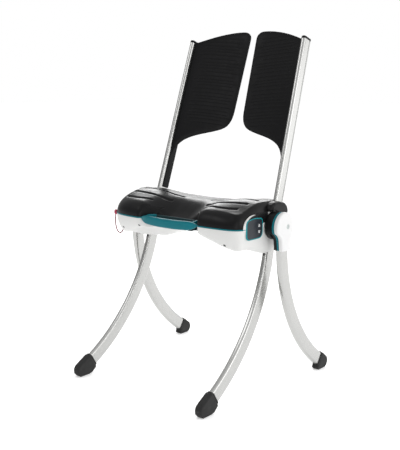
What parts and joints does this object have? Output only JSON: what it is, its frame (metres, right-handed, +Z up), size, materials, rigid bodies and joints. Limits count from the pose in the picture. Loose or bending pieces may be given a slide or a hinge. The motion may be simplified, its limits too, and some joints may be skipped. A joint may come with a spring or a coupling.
{
  "type": "mobile lifting chair",
  "caption": "Battery-powered take-apart lifting chair: contoured seat unit with turning hubs, curved plug-in legs and a split plug-in backrest.",
  "frame": {"origin": "on the floor, under the middle of the bounding box", "axes": "+Z up, +X the side with the keypad, -Y the front; the chair stands raised, on its four boots"},
  "size_m": [0.6758, 0.642, 1.1558],
  "materials": {
    "seat_black": "soft satin moulded shell",
    "housing_white": "smooth semi-gloss moulding",
    "teal_plastic": "smooth satin moulding",
    "dark_teal": "satin moulding",
    "keypad_black": "satin membrane",
    "button_print": "satin with a printed arrow",
    "red_plastic": "satin moulding",
    "red_cord": "braided cord",
    "aluminium": "satin anodised extrusion",
    "battery_wrap": "shrink wrap",
    "circuit_board": "solder mask",
    "socket_black": "satin moulding",
    "socket_grey": "satin moulding",
    "steel": "turned",
    "gearbox_grey": "die-cast, painted",
    "hub_black": "satin moulding",
    "plug_grey": "satin moulding",
    "boot_rubber": "matt moulded",
    "latch_black": "satin moulding",
    "panel_black": "matt with low ribs"
  },
  "bodies": {
    "seat": {"seat_shell": "seat_black", "lower_housing": "housing_white", "front_handle": "teal_plastic", "handle_tray": "dark_teal", "keypad_bezel": "teal_plastic", "keypad_panel": "keypad_black", "side_cover": "seat_black", "plug_leash": "red_cord", "frame_beam": "aluminium", "battery_pack": "battery_wrap", "control_board": "circuit_board", "trim_band_right": "teal_plastic", "back_socket_right": "socket_black", "front_socket_right": "socket_grey", "hub_bearing_right": "steel", "gearbox_right": "gearbox_grey", "gear_motor_right": "steel", "trim_band_left": "teal_plastic", "back_socket_left": "socket_black", "front_socket_left": "socket_grey", "hub_bearing_left": "steel", "gearbox_left": "gearbox_grey", "gear_motor_left": "steel", "housing_screw_1": "latch_black", "housing_screw_2": "latch_black", "housing_screw_3": "latch_black", "housing_screw_4": "latch_black"},
    "side_plug": {"side_plug": "red_plastic"},
    "up_button": {"up_button": "button_print"},
    "down_button": {"down_button": "button_print"},
    "hub_right": {"hub_shaft_right": "steel", "hub_inner_right": "hub_black", "hub_seal_right": "teal_plastic", "hub_cap_right": "housing_white", "hub_plug_right": "plug_grey"},
    "front_leg_right": {"front_leg_right": "aluminium", "front_boot_right": "boot_rubber"},
    "rear_leg_right": {"rear_leg_right": "aluminium", "rear_boot_right": "boot_rubber"},
    "front_latch_right": {"front_latch_right": "latch_black"},
    "rear_latch_right": {"rear_latch_right": "latch_black"},
    "back_half_right": {"back_tube_right": "aluminium", "tube_cap_right": "socket_black", "back_panel_right": "panel_black"},
    "hub_left": {"hub_shaft_left": "steel", "hub_inner_left": "hub_black", "hub_seal_left": "teal_plastic", "hub_cap_left": "housing_white", "hub_plug_left": "plug_grey"},
    "front_leg_left": {"front_leg_left": "aluminium", "front_boot_left": "boot_rubber"},
    "rear_leg_left": {"rear_leg_left": "aluminium", "rear_boot_left": "boot_rubber"},
    "front_latch_left": {"front_latch_left": "latch_black"},
    "rear_latch_left": {"rear_latch_left": "latch_black"},
    "back_half_left": {"back_tube_left": "aluminium", "tube_cap_left": "socket_black", "back_panel_left": "panel_black"}
  },
  "joints": [
    {"name": "up_button_press", "type": "slide", "parent": "seat", "child": "up_button", "axis": [-1, 0, 0], "range_m": [0, 0.0012], "stiffness_N_per_m": 600},
    {"name": "down_button_press", "type": "slide", "parent": "seat", "child": "down_button", "axis": [-1, 0, 0], "range_m": [0, 0.0012], "stiffness_N_per_m": 600},
    {"name": "side_plug_pull", "type": "slide", "parent": "seat", "child": "side_plug", "axis": [-0.8387, -0.5446, 0], "range_m": [0, 0.01]},
    {"name": "hub_turn_right", "type": "hinge", "parent": "seat", "child": "hub_right", "pos_m": [0.3, 0.026, 0.5395], "axis": [1, 0, 0], "range_deg": [0, 150]},
    {"name": "front_leg_pull_right", "type": "slide", "parent": "seat", "child": "front_leg_right", "axis": [0.0287, -0.2504, -0.9677], "range_m": [0, 0.062]},
    {"name": "rear_leg_pull_right", "type": "slide", "parent": "hub_right", "child": "rear_leg_right", "axis": [0, 0.0863, -0.9963], "range_m": [0, 0.062]},
    {"name": "front_latch_press_right", "type": "slide", "parent": "front_leg_right", "child": "front_latch_right", "axis": [0.0074, 0.9681, -0.2503], "range_m": [0, 0.0014], "stiffness_N_per_m": 800},
    {"name": "rear_latch_press_right", "type": "slide", "parent": "rear_leg_right", "child": "rear_latch_right", "axis": [1, 0, 0], "range_m": [0, 0.0014], "stiffness_N_per_m": 800},
    {"name": "back_half_pull_right", "type": "slide", "parent": "seat", "child": "back_half_right", "axis": [-0.0271, 0.3129, 0.9494], "range_m": [0, 0.09]},
    {"name": "hub_turn_left", "type": "hinge", "parent": "seat", "child": "hub_left", "pos_m": [-0.3, 0.026, 0.5395], "axis": [1, 0, 0], "range_deg": [0, 150]},
    {"name": "front_leg_pull_left", "type": "slide", "parent": "seat", "child": "front_leg_left", "axis": [-0.0287, -0.2504, -0.9677], "range_m": [0, 0.062]},
    {"name": "rear_leg_pull_left", "type": "slide", "parent": "hub_left", "child": "rear_leg_left", "axis": [0, 0.0863, -0.9963], "range_m": [0, 0.062]},
    {"name": "front_latch_press_left", "type": "slide", "parent": "front_leg_left", "child": "front_latch_left", "axis": [-0.0074, 0.9681, -0.2503], "range_m": [0, 0.0014], "stiffness_N_per_m": 800},
    {"name": "rear_latch_press_left", "type": "slide", "parent": "rear_leg_left", "child": "rear_latch_left", "axis": [-1, 0, 0], "range_m": [0, 0.0014], "stiffness_N_per_m": 800},
    {"name": "back_half_pull_left", "type": "slide", "parent": "seat", "child": "back_half_left", "axis": [0.0271, 0.3129, 0.9494], "range_m": [0, 0.09]}
  ],
  "couplings": [
    {"joint": "hub_turn_left", "follows": "hub_turn_right", "ratio": 1}
  ]
}
